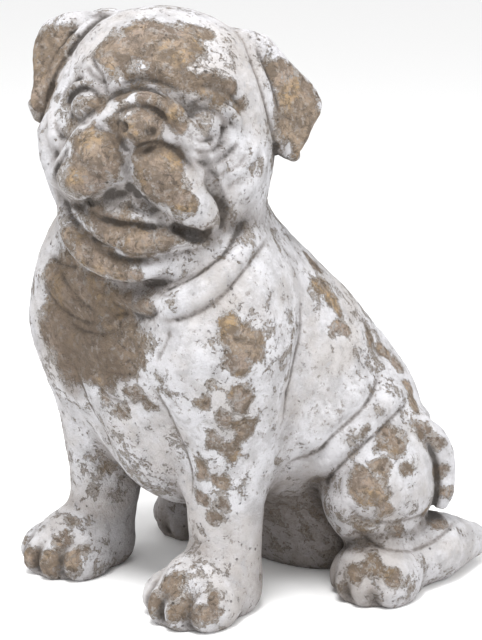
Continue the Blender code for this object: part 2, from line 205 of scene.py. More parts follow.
class Clay:
    """The figure: masses added and hollows cut in turn, then the tool marks."""

    def __init__(self):
        self.steps, self.marks = [], []
        self.level = False      # True cuts the figure off at the ground

    def add(self, *forms):
        self.steps += [(form, 1) for form in forms]

    def cut(self, *forms):
        self.steps += [(form, -1) for form in forms]

    def mark(self, points, width, depth):
        """A tool mark along a curve, drawn onto the surface: a groove, or a ridge if depth is below 0."""
        self.marks.append(Mark(self.settle(np.array(points, float), 6), width, depth))

    def depth(self, points):
        """Signed distance from the figure's surface, below zero inside."""
        value = np.full(len(points), FAR)
        for form, sign in self.steps:
            near = self.near(points, form, form.blend + BLEND_MARGIN)
            value[near] = sign * soft_union(sign * value[near], form.distance(points[near]), form.blend)
        for mark in self.marks:
            near = self.near(points, mark, 0)
            value[near] += mark.lift(points[near])
        return np.maximum(value, -points[:, 2]) if self.level else value

    @staticmethod
    def near(points, form, margin):
        inside = (points > form.low - margin) & (points < form.high + margin)
        return np.flatnonzero(inside.all(1))

    def settle(self, points, rounds, step=0.4):
        """Moves points along the slope of the depth until they lie on the surface."""
        points = points.copy()
        offsets = np.array([(1, -1, -1), (-1, -1, 1), (-1, 1, -1), (1, 1, 1)], float)
        for _ in range(rounds):
            values = [self.depth(points + step * o) for o in offsets]
            slope = sum(v[:, None] * o for v, o in zip(values, offsets)) / (4 * step)
            steep = np.maximum((slope ** 2).sum(1), 0.25)
            move = np.clip(sum(values) / 4, -6, 6)[:, None] * slope / steep[:, None]
            points -= 0.9 * move
        return points


# The head has axes of its own: side to the dog's left, forward, and up.
HEAD_CENTRE = np.array((-14.0, -66.0, 306.0))
HEAD_YAW, HEAD_ROLL, HEAD_PITCH = (math.radians(a) for a in (37, 8, 2))


def head_axes():
    forward = np.array((math.sin(HEAD_YAW), -math.cos(HEAD_YAW), 0.0))
    side = np.array((math.cos(HEAD_YAW), math.sin(HEAD_YAW), 0.0))
    up = np.array((0.0, 0.0, 1.0))
    forward, up = (forward * math.cos(HEAD_PITCH) + up * math.sin(HEAD_PITCH),
                   up * math.cos(HEAD_PITCH) - forward * math.sin(HEAD_PITCH))
    side, up = (side * math.cos(HEAD_ROLL) - up * math.sin(HEAD_ROLL),
                up * math.cos(HEAD_ROLL) + side * math.sin(HEAD_ROLL))
    return np.column_stack([side, forward, up])


HEAD_AXES = head_axes()
FORELEG_MIDDLE, HIND_MIDDLE = -18.0, 15.0   # the hips sit a little to the left of the forelegs


def on_head(*points):
    placed = HEAD_CENTRE + np.array(points, float) @ HEAD_AXES.T
    return placed if len(points) > 1 else placed[0]


def turned(axis, degrees, frame=None):
    """The frame's axes turned about one of them."""
    frame = np.eye(3) if frame is None else frame
    return frame @ np.array(Matrix.Rotation(math.radians(degrees), 3, axis))


def trunk(clay):
    clay.add(
        Ball((14, 68, 72), (67, 54, 75), 0),
        Ball((6, 42, 32), (66, 44, 48), 20),
        Ball((57, 46, 104), (38, 36, 38), 20),
        Ball((8, 35, 112), (68, 63, 71), 36),
        Ball((1, -10, 157), (79, 72, 70), 40),
        Ball((-20, -61, 155), (73, 58, 74), 30),
        Limb([(-15, -36, 205), (-22, -54, 238), (-17, -61, 276)], (62, 67, 58), 30),
        Ball((-13, -42, 106), (48, 56, 54), 20),
        Ball((20, -10, 106), (50, 56, 44), 26),
        Ball((-52, -101, 203), (22, 14, 13), 8),
        Ball((6, -104, 206), (22, 12, 9), 7),
    )


def paw(clay, middle, tip, width):
    """Four toes side by side, the outer two set back, on a sole that reaches below the ground."""
    clay.add(Ball((middle, tip + 36, 0), (0.4 * width, 30, 15), 3))
    for share, back in ((-0.375, 9), (-0.13, 0), (0.13, 0), (0.375, 9)):
        toe = (middle + share * width, tip + 20 + back, 12)
        clay.add(Ball(toe, (0.17 * width, 20, 15), 5))


def front_leg(clay, side):
    ankle = FORELEG_MIDDLE + 58.5 * side
    foot = FORELEG_MIDDLE + 61.5 * side
    clay.add(
        Ball((ankle - 2 * side, -67, 186), (42, 48, 68), 24),
        Limb([(ankle, -70, 170), (ankle, -65, 112), (ankle, -64, 66), (foot, -66, 28)],
             (42, 32, 25, 22), 14),
        Ball((foot, -84, 20), (26, 34, 22), 10),
        Ball((foot, -72, 10), (25, 26, 18), 10),
    )
    paw(clay, foot, -127, 60)


def hind_leg(clay, side):
    foot = HIND_MIDDLE + 86 * side
    knee = HIND_MIDDLE + 72 * side
    clay.add(
        Ball((knee + side, 30, 67), (32, 44, 40), 10),
        Ball((knee - 6 * side, 36, 92), (28, 38, 34), 16),
        Limb([(foot, 22, 18), (foot + 2 * side, 70, 20), (foot + 4 * side, 106, 15)], (22, 24, 13), 6),
        Ball((foot, 16, 20), (25, 30, 20), 8),
    )
    paw(clay, foot, -15, 54)


def head_ball(centre, radii, blend, frame=None):
    return Ball(on_head(centre), radii, blend, HEAD_AXES if frame is None else frame)


def skull(clay):
    clay.add(
        head_ball((0, -2, 12), (69, 61, 61), 12),
        head_ball((0, 14, 30), (50, 42, 38), 20),
        head_ball((3, 27, -57), (50, 41, 34), 12),
    )
    for s in (1, -1):
        clay.add(
            head_ball((38 * s, 10, -18), (34, 42, 44), 20),
            head_ball((24 * s, 42, 34), (20, 16, 12), 12),
        )


def muzzle(clay):
    """Cheeks and flews, a fold that arches over the nose, and the nose."""
    fold = on_head((-55, 44, -38), (-50, 53, -27), (-43, 60, -15), (-35, 64, -4), (-26, 66, 6),
                   (-15, 67, 16), (-3, 68, 22), (9, 68, 22), (19, 67, 17), (27, 65, 8), (34, 63, -2),
                   (40, 58, -12), (44, 52, -22))
    clay.add(
        head_ball((0, 44, -14), (48, 24, 36), 8),
        head_ball((-1, 53, 6), (34, 19, 20), 8),
        head_ball((30, 52, -16), (16, 15, 22), 8),
        head_ball((-32, 52, -12), (14, 15, 16), 8),
        Limb(fold, (2.5, 3, 3.5, 4, 4, 4.5, 5, 5, 5, 5, 5, 4.5, 3), 7),
        head_ball((-22, 57, -15), (23, 22, 23), 4, turned("Y", -22, HEAD_AXES)),
        head_ball((-35, 54, -33), (15, 20, 12), 12),
        head_ball((14, 57, -21), (29, 22, 18), 4, turned("Y", 34, HEAD_AXES)),
        head_ball((34, 53, -36), (18, 19, 13), 14, turned("Y", 30, HEAD_AXES)),
        head_ball((-2, 64, 6), (15.5, 16, 13), 4),
        head_ball((-3, 57, -10), (9, 20, 12), 5),
    )
    for s in (1, -1):
        clay.cut(head_ball((-2 + 9 * s, 80, 6), (4.2, 11, 3.8), 1))
        crease = on_head((39 * s, 66, -8), (45 * s, 62, -18), (50 * s, 58, -28), (53 * s, 54, -38),
                         (53 * s, 52, -47))
        deep = 1 if s > 0 else 0.5
        clay.cut(Limb(crease, (0.5, 2 * deep, 3 * deep, 3 * deep, 1 * deep), 4))


def mouth(clay):
    """Parted lips: a gap under the nose, the line of the mouth, the lower lip and the chin."""
    line = on_head((-50, 50, -51), (-35, 61, -49), (-21, 68, -50), (-7, 71, -54), (4, 71, -55),
                   (15, 70, -51), (27, 67, -51), (39, 62, -54), (50, 57, -55))
    lip = on_head((-38, 50, -53), (-24, 57, -57), (-10, 61, -62), (3, 62, -64), (16, 62, -61), (28, 60, -58),
                  (40, 57, -58), (50, 50, -57))
    chin = on_head((-48, 40, -54), (-39, 48, -66), (-26, 53, -77), (-8, 56, -83), (10, 57, -82),
                   (29, 55, -77), (45, 48, -70), (54, 40, -60))
    clay.add(Limb(chin, (5, 8, 9, 9, 9, 8.5, 7, 4), 4))
    clay.cut(
        head_ball((-26, 84, -46), (21, 26, 6), 2, turned("Y", -24, HEAD_AXES)),
        head_ball((12, 86, -54), (26, 26, 5), 2, turned("Y", 30, HEAD_AXES)),
        head_ball((-9, 84, -35), (7, 34, 6), 2),
    )
    for inward in (0, 7, 14):
        clay.cut(
            Limb(on_head((-10, 80 - inward, -34), (-20, 76 - inward, -41), (-33, 68 - inward, -47)),
                 (5, 4.5, 2), 1),
            Limb(on_head((-8, 82 - inward, -35), (2, 82 - inward, -46), (16, 78 - inward, -55)),
                 (5, 5, 3), 1),
        )
    clay.add(
        head_ball((-4, 53, -49.5), (29, 17, 7.5), 2),
        Limb(lip, (3, 7.5, 9, 9.5, 9, 8, 5, 2), 2),
    )
    clay.cut(Limb(line, (1, 3, 2.5, 2.5, 2.5, 2.5, 3, 4.5, 1), 1.5))


def eyes(clay):
    for s in (1, -1):
        clay.cut(head_ball((38 * s, 62, 9), (18, 15, 16), 5))
        clay.add(head_ball((33.7 * s - 3, 47.5, 10.8), (12.5, 13, 12.5), 0.5))
        lid = on_head((54 * s, 37, 3), (51 * s, 45, 17), (42 * s, 51, 24), (31 * s, 53, 23),
                      (23 * s, 55, 12))
        clay.add(Limb(lid, (2.5, 3.2, 3.2, 3.2, 2.5), 1.2))
        under = on_head((54 * s, 38, 1), (48 * s, 46, -7), (38 * s, 50, -9), (28 * s, 53, -4))
        clay.add(Limb(under, (2.5, 3.2, 3.2, 2.5), 1.2))
        bag = on_head((62 * s, 36, 0), (56 * s, 44, -12), (46 * s, 50, -17))
        clay.add(Limb(bag, (3, 5, 3), 4))
        cheek = on_head((66 * s, 28, -12), (61 * s, 36, -24), (56 * s, 40, -34))
        clay.add(Limb(cheek, (4, 6, 4), 10))


# Furrows of the brow, on the head's own axes.
BROW_FURROWS = (
    (((-46, 48, 46), (-39, 54, 39), (-32, 59, 30), (-27, 60, 20)), 2.6, 4.5),
    (((-33, 46, 52), (-25, 55, 45), (-18, 60, 37), (-14, 62, 28)), 4, 2.5),
    (((10, 52, 56), (14, 57, 48), (18, 60, 40), (22, 61, 29)), 3.5, 3),
    (((-18, 60, 30), (-10, 61, 33), (0, 61, 35), (11, 61, 33), (20, 60, 30)), 3, 3.5),
    (((20, 58, 34), (30, 55, 35), (41, 49, 34), (51, 42, 27), (58, 35, 18)), 3, 3),
    (((20, 58, 42), (31, 54, 43), (43, 47, 41), (54, 38, 33)), 5, -3),
    (((33, 67, -3), (43, 64, -7), (51, 49, -2), (56, 43, 6)), 2.5, 2),
    (((39, 63, -12), (48, 59, -16), (57, 47, -10), (61, 40, -1)), 2.5, 2),
)


def brow(clay):
    for points, width, depth in BROW_FURROWS:
        clay.mark(on_head(*points), width, depth)


# Each ear flap's outline on the head's axes: along the fold, down the outer edge to the tip, up the front.
LEFT_EAR = ((40, -1, 64), (54, -9, 64), (70, -15, 51), (88, -20, 39), (96, -20, 25), (92, -10, 10),
            (85, 0, -5), (76, 6, 0), (66, 9, 18), (56, 9, 42), (44, 5, 59))
RIGHT_EAR = ((-44, 0, 64), (-60, -5, 62), (-74, -5, 58), (-85, -5, 50), (-89, 0, 34), (-84, 5, 15),
             (-82, 8, 2), (-75, 11, -4), (-72, 14, 12), (-66, 14, 34), (-56, 9, 52))


def ears(clay):
    """Folded ears: a root on the skull, a flap hanging from the fold, and a rolled front rim."""
    for side, outline in ((1, LEFT_EAR), (-1, RIGHT_EAR)):
        clay.add(head_ball((45 * side, -10, 51), (17, 16, 16), 8))
        clay.add(Sheet(on_head(*outline), 12, 4))
        clay.add(Limb(on_head(*outline[6:], outline[0]), (4, 5, 5, 5, 4, 3), 1.5))


def tail(clay):
    """A short tail that comes round from the rump and lies curled down the left thigh."""
    clay.add(Limb([(30, 106, 84), (56, 99, 94), (80, 77, 102), (98, 58, 105), (107, 61, 99), (111, 66, 88),
                   (112, 68, 74), (113, 67, 62), (112, 66, 54)], (10, 10, 9.5, 9, 9, 8.5, 8, 7, 5), 2.5))


# Creases and raised folds: points along each, its width, and its depth, below 0 for a raised fold.
NECK_FOLDS = (
    (((-62, -111, 233), (-35, -119, 222), (-8, -118, 216), (22, -113, 217), (46, -107, 222), (60, -87, 237),
      (57, -68, 251), (50, -42, 264)), 5, 8),
    (((53, -48, 254), (63, -75, 240), (64, -92, 226), (48, -109, 212), (28, -114, 206)), 9, -5),
    (((54, -38, 243), (68, -65, 234), (71, -82, 224), (66, -99, 210), (50, -112, 200), (34, -115, 197)),
     3.5, 6),
    (((-72, -100, 216), (-60, -114, 217), (-36, -118, 219)), 4, 4),
    (((-74, -104, 204), (-66, -112, 195), (-52, -116, 186), (-36, -116, 183), (-19, -117, 187)), 4, 5),
    (((-10, -116, 202), (2, -114, 196), (24, -115, 196), (38, -114, 206)), 3.5, 5),
)
CHEST_FOLDS = (
    (((-68, -110, 166), (-46, -117, 160), (-20, -118, 155), (6, -116, 156), (22, -114, 158)), 6, 4),
    (((-31, -117, 152), (-22, -117, 142), (-4, -115, 136), (14, -112, 140), (22, -112, 148)), 6, 4),
    (((25, -114, 156), (29, -109, 136), (32, -98, 112), (35, -94, 92), (37, -88, 74)), 6, 7),
    (((-62, -114, 168), (-48, -116, 148), (-40, -112, 126), (-34, -104, 104), (-32, -88, 84)), 6, 6),
    (((44, -113, 196), (40, -114, 182), (30, -115, 168)), 7, 3),
)
FLANK_FOLDS = (
    (((70, -26, 204), (75, -30, 186), (79, -37, 168), (77, -42, 146), (73, -48, 124)), 6, 6),
    (((66, -38, 100), (74, -25, 107), (80, -15, 114), (85, -5, 123), (87, 6, 130), (87, 17, 138),
      (84, 30, 147)), 8, -6),
    (((62, -28, 80), (70, -18, 86), (78, -9, 94), (87, -2, 106), (93, 9, 116), (95, 24, 125), (93, 42, 132),
      (84, 58, 138)), 9, -8),
    (((64, -38, 92), (70, -27, 96), (77, -15, 102), (84, -6, 110), (88, 1, 118), (90, 12, 127),
      (88, 24, 136), (84, 35, 145)), 4.5, 6.5),
    (((70, -14, 64), (78, -11, 76), (87, -8, 89), (94, -2, 99), (101, 10, 109), (104, 22, 116),
      (102, 38, 122), (96, 54, 125)), 5.5, 8.5),
    (((60, 40, 178), (68, 42, 168), (75, 43, 158), (80, 44, 148)), 4, 4),
)
HAUNCH_FOLDS = (
    (((96, -12, 71), (105, -7, 59), (114, 8, 54), (118, 28, 50), (116, 48, 48), (110, 64, 45)), 4, 5),
    (((98, -20, 50), (107, 1, 42), (116, 15, 38), (120, 36, 33), (118, 60, 33), (108, 84, 34)), 5, 6),
)


def folds(clay):
    for points, width, depth in NECK_FOLDS + CHEST_FOLDS + FLANK_FOLDS + HAUNCH_FOLDS:
        clay.mark(points, width, depth)


# Grooves cut with a narrow tool: pixels of the photograph along each, its width, and its depth.
FINE_LINES = (
    # right eye: its lid and under it
    (((68, 112), (69, 103), (73, 94), (80, 89), (88, 88), (96, 92), (101, 100), (101, 108)), 1.8, 3.0),
    (((71, 112), (76, 119), (84, 122), (92, 120)), 1.5, 1.2),
    (((62, 104), (64, 94), (70, 86), (78, 81), (87, 80)), 1.6, 1.2),
    (((54, 118), (58, 130), (64, 138), (72, 134)), 1.6, 1.2),
    # left eye
    (((188, 130), (188, 120), (193, 112), (201, 108), (210, 109), (218, 115), (221, 124), (219, 133)),
     1.8, 3.0),
    (((192, 136), (200, 141), (209, 140), (216, 136)), 1.5, 1.5),
    (((183, 116), (188, 107), (196, 101), (206, 99), (217, 103), (226, 111)), 1.6, 1.8),
    (((190, 146), (198, 151), (208, 152), (218, 147), (226, 138)), 1.6, 1.8),
    (((192, 156), (201, 163), (213, 164), (226, 156), (236, 146)), 1.6, 1.6),
    # brow
    (((85, 65), (91, 73), (99, 80), (106, 84)), 1.8, 2.6),
    (((186, 92), (196, 88), (208, 88), (220, 93), (231, 103)), 1.6, 1.6),
    (((182, 82), (194, 78), (208, 78), (222, 84), (234, 95)), 1.6, 1.4),
    (((118, 86), (130, 81), (143, 79), (156, 82), (167, 88)), 1.8, 1.6),
    (((112, 66), (124, 60), (138, 58), (152, 60)), 1.6, 1.0),
    # the arch over the nose, and the nose
    (((64, 134), (80, 121), (95, 108), (110, 97), (126, 90), (142, 88), (158, 93), (171, 104), (181, 118),
      (190, 133), (198, 147)), 1.8, 1.8),
    (((110, 122), (116, 113), (127, 107), (140, 105), (153, 108), (163, 115), (170, 126)), 1.6, 2.0),
    (((113, 128), (117, 140), (125, 149), (137, 152), (150, 149), (161, 143)), 1.6, 1.8),
    # the flews and the lip between them
    (((72, 140), (82, 129), (95, 126), (108, 133), (117, 147), (122, 162), (125, 178)), 1.7, 2.2),
    (((127, 180), (127, 166), (131, 153), (142, 145), (156, 142), (171, 147), (185, 160), (198, 175)),
     1.7, 2.2),
    (((84, 170), (94, 176), (105, 175), (112, 166)), 1.4, 1.0),
    (((80, 160), (90, 166), (102, 164)), 1.4, 0.8),
    (((150, 178), (160, 188), (172, 190), (180, 182)), 1.4, 1.0),
    (((148, 166), (158, 174), (170, 176)), 1.4, 0.8),
    (((62, 204), (76, 206), (90, 211), (104, 218), (120, 223), (142, 224), (166, 227), (190, 232),
      (212, 233)), 1.8, 2.4),
    (((204, 176), (210, 188), (218, 202), (226, 216)), 2.0, 3.0),
    (((84, 228), (98, 242), (118, 251), (140, 255), (164, 252), (186, 246), (204, 244)), 1.8, 2.0),
    (((78, 262), (95, 275), (118, 282), (145, 284), (172, 282), (196, 274), (214, 260)), 1.8, 2.0),
    # the ears' rims
    (((92, 10), (78, 36), (64, 60), (52, 84), (44, 108)), 1.8, 2.4),
    (((82, 12), (70, 34), (57, 56), (46, 76)), 1.6, 1.4),
    (((240, 38), (252, 62), (262, 92), (270, 122), (277, 146)), 1.8, 2.6),
    (((250, 36), (262, 60), (272, 88), (282, 118), (290, 142)), 1.6, 1.6),
    # throat and chest
    (((58, 262), (68, 286), (84, 304), (104, 316)), 1.8, 1.6),
    (((108, 318), (124, 314), (142, 318), (158, 312)), 1.8, 1.6),
    (((150, 286), (168, 296), (188, 296), (208, 286)), 1.6, 1.2),
    (((66, 318), (82, 330), (104, 334), (126, 330)), 1.8, 1.6),
)


def fine_lines(clay):
    points = seen(clay, np.vstack([pixels for pixels, _, _ in FINE_LINES]))
    ends = np.cumsum([len(pixels) for pixels, _, _ in FINE_LINES])
    for line, (_, width, depth) in zip(np.split(points, ends[:-1]), FINE_LINES):
        clay.marks.append(Mark(line, width, depth))


def model():
    clay = Clay()
    trunk(clay)
    for side in (1, -1):
        front_leg(clay, side)
        hind_leg(clay, side)
    tail(clay)
    folds(clay)
    skull(clay)
    eyes(clay)
    muzzle(clay)
    mouth(clay)
    brow(clay)
    ears(clay)
    fine_lines(clay)
    return clay


class Grain:
    """A smooth random field between -1 and 1, the same on every run."""

    def __init__(self, seed):
        self.grid = np.random.default_rng(seed).uniform(-1, 1, (32, 32, 32))

    def __call__(self, points, size):
        place = points / size
        low = np.floor(place).astype(int)
        share = place - low
        share = share * share * (3 - 2 * share)
        total = 0
        for corner in np.ndindex(2, 2, 2):
            weight = np.prod(np.where(corner, share, 1 - share), axis=1)
            cell = (low + corner) % 32
            total = total + weight * self.grid[cell[:, 0], cell[:, 1], cell[:, 2]]
        return total


def coordinates(mesh):
    flat = np.empty(len(mesh.vertices) * 3, np.float32)
    mesh.vertices.foreach_get("co", flat)
    return flat.reshape(-1, 3).astype(float)


def normals(mesh):
    flat = np.empty(len(mesh.vertices) * 3, np.float32)
    mesh.vertices.foreach_get("normal", flat)
    return flat.reshape(-1, 3).astype(float)


def towards_camera():
    azimuth, elevation = math.radians(AZIMUTH), math.radians(ELEVATION)
    return Vector((math.sin(azimuth) * math.cos(elevation), -math.cos(azimuth) * math.cos(elevation),
                   math.sin(elevation)))


# A ray starts at this share of the camera's distance, and goes this share of the free way at each step.
RAY_START, RAY_SHARE, RAY_STEPS = 0.75, 0.7, 70


def seen(clay, pixels):
    """The points of the figure, in its millimetres, that the photograph shows at these pixels."""
    back = np.array(towards_camera())
    right = np.cross((0.0, 0.0, 1.0), back)
    right /= np.linalg.norm(right)
    up = np.cross(back, right)
    middle = (PHOTO_WIDTH / 2, PHOTO_HEIGHT / 2)
    across = (np.array(pixels, float) - middle) * SENSOR / FOCAL / PHOTO_HEIGHT
    rays = across[:, :1] * right - across[:, 1:] * up - back
    rays /= np.linalg.norm(rays, axis=1)[:, None]
    eye = to_figure(np.array(AIM) + DISTANCE * back)
    travelled = np.full(len(rays), RAY_START * DISTANCE / MM)
    for _ in range(RAY_STEPS):
        travelled += RAY_SHARE * clay.depth(eye + travelled[:, None] * rays)
    return eye + travelled[:, None] * rays


def put(mesh, points):
    mesh.vertices.foreach_set("co", points.astype(np.float32).ravel())
    mesh.update()


def to_figure(points):
    """From metres in the row's frame to the clay figure's millimetres."""
    return points / MM + FOOTPRINT_MIDDLE


def to_frame(points):
    return (points - FOOTPRINT_MIDDLE) * MM


def applied(obj, kind, **settings):
    """Replaces the object's mesh with the result of one modifier."""
    modifier = obj.modifiers.new(kind.title(), kind)
    for name, value in settings.items():
        setattr(modifier, name, value)
    graph = bpy.context.evaluated_depsgraph_get()
    mesh = bpy.data.meshes.new_from_object(obj.evaluated_get(graph))
    obj.modifiers.clear()
    old, obj.data = obj.data, mesh
    bpy.data.meshes.remove(old)


# Lumps and dents of a hand-finished casting: size and height, in millimetres.
SURFACE_LUMPS = ((26, 0.8), (11, 0.35), (5, 0.22), (2.8, 0.2))


def weathered(points, facing):
    """The points moved in and out by the lumps of the surface, but for the level underside."""
    lift = sum(height * Grain(10 + i)(points, size) for i, (size, height) in enumerate(SURFACE_LUMPS))
    lift *= np.clip(points[:, 2] / 4, 0, 1)
    return points + lift[:, None] * facing


def neighbours(mesh):
    """The two ends of every edge, and how many edges meet at each vertex."""
    ends = np.empty(len(mesh.edges) * 2, np.int32)
    mesh.edges.foreach_get("vertices", ends)
    a, b = ends.reshape(-1, 2).T
    return a, b, np.bincount(ends, minlength=len(mesh.vertices))


def around(values, a, b, count):
    """The mean of the values at each vertex's neighbours."""
    return (np.bincount(a, values[b], len(values)) + np.bincount(b, values[a], len(values))) / count


LEAST_AGREEMENT = 0.35         # of a face's normal with its vertex's, as a cosine; less is a fold
MEND_REACH, MEND_ROUNDS = 4, 25


def folded(mesh):
    """The vertices where some face turns its back to the vertex's own normal."""
    sides = np.empty(len(mesh.polygons) * 3, np.float32)
    mesh.polygons.foreach_get("normal", sides)
    corners = np.empty(len(mesh.loops), np.int32)
    mesh.loops.foreach_get("vertex_index", corners)
    counts = np.empty(len(mesh.polygons), np.int32)
    mesh.polygons.foreach_get("loop_total", counts)
    sides = np.repeat(sides.reshape(-1, 3), counts, axis=0)
    agree = np.ones(len(mesh.vertices))
    np.minimum.at(agree, corners, (sides * normals(mesh)[corners]).sum(1))
    return agree < LEAST_AGREEMENT


def mended(mesh):
    """Evens out the folded places by drawing their points to the middle of their neighbours."""
    points = coordinates(mesh)
    a, b, count = neighbours(mesh)
    bad = folded(mesh)
    for _ in range(MEND_REACH):
        bad[a[bad[b]]] = True
        bad[b[bad[a]]] = True
    for _ in range(MEND_ROUNDS):
        drawn = np.column_stack([around(points[:, i], a, b, count) for i in range(3)])
        points[bad] = drawn[bad]
    return points


def surface(clay):
    """The figure's fine mesh, grown on the plain solid's. The second pass clears the first one's folds."""
    plain = frame["nodes"]["pug_statue"]
    obj = bpy.data.objects.new("whitewashed_pug", plain.data.copy())
    obj.data.transform(plain.matrix_world)
    bpy.context.scene.collection.objects.link(obj)
    clay.level = True
    for grain, rounds in ((COARSE_GRAIN, 3), (FINE_GRAIN, 2)):
        applied(obj, "REMESH", mode="VOXEL", voxel_size=grain, adaptivity=0)
        put(obj.data, to_frame(clay.settle(to_figure(coordinates(obj.data)), rounds)))
        put(obj.data, mended(obj.data))
    put(obj.data, to_frame(weathered(to_figure(coordinates(obj.data)), normals(obj.data))))
    obj.data.calc_loop_triangles()
    if len(obj.data.loop_triangles) > MOST_FACETS:
        applied(obj, "DECIMATE", ratio=MOST_FACETS / len(obj.data.loop_triangles))
    put(obj.data, np.clip(coordinates(obj.data), *np.array(cad_box)))
    obj.data.shade_smooth()
    return obj


# Spots of wear that the photograph shows: pixel across and down, reach in pixels, and strength.
# Where the whitewash is worn through to the stone.
BARE_SEEN = (
    # forehead and brow
    (120, 50, 16, 1), (148, 38, 20, 1), (180, 44, 18, 1), (165, 64, 18, 1), (198, 32, 9, 1),
    (140, 76, 11, 0.6), (190, 80, 8, 1), (206, 83, 9, 1), (222, 92, 9, 1), (236, 106, 8, 1),
    # arch, nose and flews
    (100, 108, 7, 0.9), (120, 97, 8, 1), (140, 94, 8, 1), (158, 98, 8, 1), (172, 111, 7, 1),
    (182, 126, 6, 0.9), (124, 124, 12, 1), (146, 124, 14, 1), (137, 139, 11, 1), (90, 148, 18, 1),
    (84, 176, 20, 1), (108, 166, 14, 1), (96, 134, 11, 1), (146, 163, 15, 1), (164, 178, 18, 1),
    (180, 200, 15, 1), (152, 190, 12, 1), (164, 156, 11, 1), (72, 128, 9, 0.4), (85, 106, 10, 0.3),
    (204, 126, 10, 0.3),
    # lower lip, chin and ears
    (110, 226, 13, 1), (138, 240, 13, 1), (163, 242, 9, 0.7), (96, 216, 9, 0.8), (84, 250, 13, 1),
    (100, 265, 13, 1), (120, 273, 11, 1), (136, 277, 9, 0.9), (70, 236, 9, 0.9), (76, 262, 11, 1),
    (46, 60, 20, 1), (40, 92, 18, 1), (58, 42, 14, 1), (295, 98, 20, 1), (306, 120, 17, 1),
    (284, 74, 13, 1), (290, 128, 12, 1), (300, 146, 8, 1),
    # throat and right of the chest
    (60, 285, 24, 1), (85, 305, 24, 1), (75, 270, 16, 1), (110, 312, 18, 1), (95, 290, 16, 1),
    (122, 300, 12, 1), (145, 308, 11, 0.9), (130, 320, 9, 0.7), (60, 330, 24, 1), (85, 345, 26, 1),
    (110, 355, 22, 1), (135, 346, 16, 1), (70, 362, 18, 1), (100, 372, 14, 0.9), (128, 325, 14, 0.8),
    (105, 396, 8, 0.7), (135, 396, 9, 0.8), (150, 406, 7, 0.6), (120, 411, 9, 0.7),
    # left shoulder and leg
    (228, 320, 8, 0.8), (236, 332, 12, 1), (250, 346, 12, 1), (240, 363, 11, 1), (240, 396, 12, 1),
    (214, 392, 9, 0.7), (204, 406, 7, 0.8), (226, 420, 9, 1), (246, 430, 9, 1), (210, 441, 8, 0.8),
    (230, 451, 10, 1), (200, 470, 8, 0.9), (216, 481, 9, 1), (205, 500, 8, 0.9), (221, 501, 8, 0.8),
    (215, 520, 6, 0.9),
    # back, haunch and tail
    (312, 262, 8, 1), (320, 284, 9, 1), (335, 305, 10, 1), (340, 330, 9, 1), (333, 346, 6, 0.7),
    (368, 335, 7, 1), (385, 350, 8, 1), (395, 361, 8, 1), (408, 386, 8, 1), (414, 400, 7, 0.8),
    (370, 495, 13, 1), (360, 480, 9, 0.9), (385, 510, 9, 0.8), (390, 440, 12, 0.9), (380, 465, 10, 0.8),
    (370, 430, 8, 0.6), (405, 470, 7, 0.8), (420, 430, 11, 0.9), (434, 440, 9, 0.9), (444, 470, 8, 0.9),
    (449, 490, 6, 0.8), (425, 512, 8, 0.8), (440, 524, 7, 0.8), (400, 530, 7, 0.7), (360, 526, 6, 0.6),
    # paws and right foreleg
    (150, 600, 11, 0.9), (180, 610, 11, 1), (210, 615, 11, 1), (170, 586, 11, 0.8), (215, 596, 7, 0.7),
    (30, 555, 11, 1), (50, 565, 11, 1), (70, 560, 9, 0.8), (60, 540, 9, 0.8), (84, 550, 7, 0.5),
    (330, 580, 7, 0.7), (355, 575, 9, 0.9), (375, 566, 10, 1), (394, 576, 9, 1), (345, 590, 7, 0.7),
    (408, 590, 7, 0.6), (95, 490, 7, 0.5), (105, 470, 8, 0.5), (76, 520, 7, 0.5), (120, 500, 7, 0.5),
)
# Where it is thickest.
WHITE_SEEN = (
    (300, 300, 14, 0.8), (310, 340, 18, 0.9), (330, 372, 19, 0.9), (352, 402, 16, 0.9),
    (300, 400, 16, 0.9), (282, 440, 13, 0.9), (320, 430, 15, 0.9), (300, 470, 9, 0.6), (165, 330, 8, 0.8),
    (181, 350, 13, 0.9), (196, 325, 12, 0.9), (190, 381, 13, 0.9), (166, 366, 8, 0.8),
    (180, 411, 11, 0.8), (263, 440, 8, 0.9), (265, 480, 11, 1), (258, 520, 15, 1), (252, 560, 15, 1),
    (240, 575, 9, 0.8), (190, 440, 6, 0.6), (240, 40, 13, 0.6), (250, 80, 11, 0.8), (256, 130, 11, 0.8),
    (240, 160, 8, 0.6), (226, 190, 7, 0.6), (76, 50, 11, 0.8), (65, 76, 9, 0.8), (95, 70, 8, 0.8),
    (100, 35, 7, 0.7), (106, 127, 6, 0.9), (123, 150, 6, 0.9), (127, 165, 5, 0.9), (201, 190, 8, 0.9),
    (207, 212, 8, 0.9), (170, 136, 5, 0.8), (187, 152, 6, 0.9), (61, 200, 6, 0.8), (98, 204, 4, 0.7),
    (270, 250, 13, 0.7), (240, 280, 11, 0.7), (216, 270, 9, 0.6), (290, 232, 9, 0.7), (410, 496, 7, 0.7),
    (400, 550, 8, 0.7), (440, 545, 11, 0.8), (460, 560, 11, 0.7), (345, 450, 7, 0.6), (120, 535, 11, 0.6),
    (245, 600, 7, 0.7), (350, 560, 7, 0.5),
)
